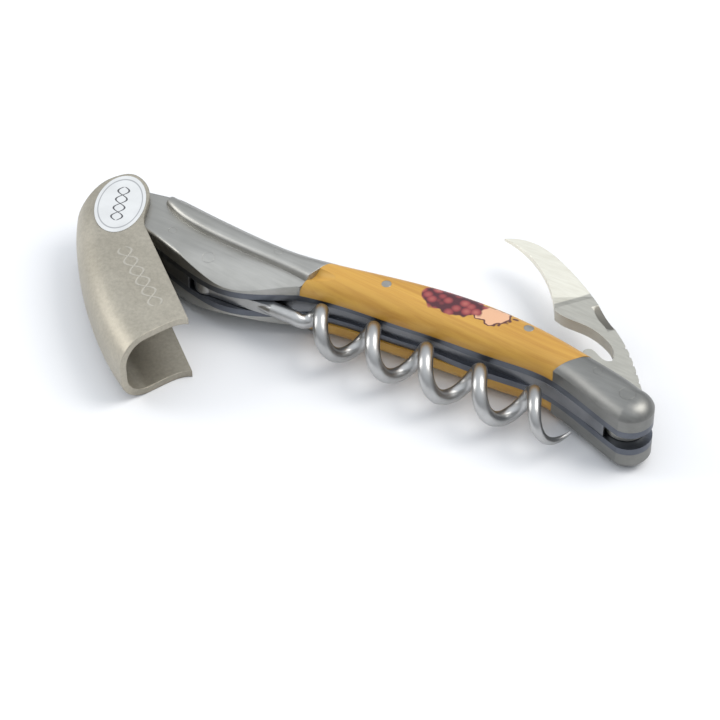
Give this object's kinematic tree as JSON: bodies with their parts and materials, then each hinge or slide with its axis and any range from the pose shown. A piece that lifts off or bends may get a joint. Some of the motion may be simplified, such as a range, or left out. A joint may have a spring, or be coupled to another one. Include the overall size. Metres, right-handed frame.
{
  "type": "waiter's corkscrew",
  "caption": "Folding waiter's corkscrew lying on its side, half open: slab handle with steel bolsters, wire worm, channel-shaped bottle lever and foil blade.",
  "frame": {"origin": "on the flat outer face of the lower scale, which the tool rests on, under the middle of the handle's length", "axes": "+X along the handle from the bottle lever to the foil blade's pivot; +Y from the belly, where lever and worm fold in, to the back, where the blade folds in; +Z through the handle's thickness, up"},
  "size_m": [0.1227, 0.0738, 0.015],
  "materials": {
    "scale_wood": "oiled, fine lengthwise grain",
    "bolster_steel": "satin",
    "liner_steel": "satin",
    "spring_steel": "satin",
    "pin_steel": "polished flush",
    "lever_steel": "satin",
    "label_white": "printed oval, plain",
    "worm_steel": "polished",
    "blade_steel": "polished"
  },
  "bodies": {
    "handle": {"liner_upper": "liner_steel", "liner_lower": "liner_steel", "scale_upper": "scale_wood", "scale_lower": "scale_wood", "front_bolster_upper": "bolster_steel", "front_bolster_lower": "bolster_steel", "rear_bolster_upper": "bolster_steel", "rear_bolster_lower": "bolster_steel", "spring": "spring_steel", "head_spacer": "spring_steel", "spring_pin": "pin_steel", "scale_pins": "pin_steel", "front_bolster_pin": "pin_steel", "nose_pin": "pin_steel", "rear_bolster_pins": "pin_steel", "worm_pin": "pin_steel", "blade_pin": "pin_steel"},
    "lever": {"lever": "lever_steel", "lever_label": "label_white"},
    "lever_pin": {"lever_pin": "pin_steel"},
    "worm": {"worm": "worm_steel"},
    "blade": {"blade": "blade_steel"}
  },
  "joints": [
    {"name": "lever_fold", "type": "hinge", "parent": "handle", "child": "lever_pin", "pos_m": [-0.056, -0.0067, 0.0075], "axis": [0, 0, -1], "range_deg": [-34.5, 0]},
    {"name": "lever_open", "type": "hinge", "parent": "lever_pin", "child": "lever", "pos_m": [-0.056, -0.0067, 0.0075], "axis": [0, 0, -1], "range_deg": [0, 112.5]},
    {"name": "worm_open", "type": "hinge", "parent": "handle", "child": "worm", "pos_m": [-0.0325, -0.0103, 0.0075], "axis": [0, 0, -1], "range_deg": [0, 90]},
    {"name": "blade_open", "type": "hinge", "parent": "handle", "child": "blade", "pos_m": [0.054, -0.0012, 0.0075], "axis": [0, 0, -1], "range_deg": [-31.5, 150]}
  ],
  "couplings": [
    {"joint": "worm_open", "follows": "lever_open", "ratio": 0.8}
  ]
}
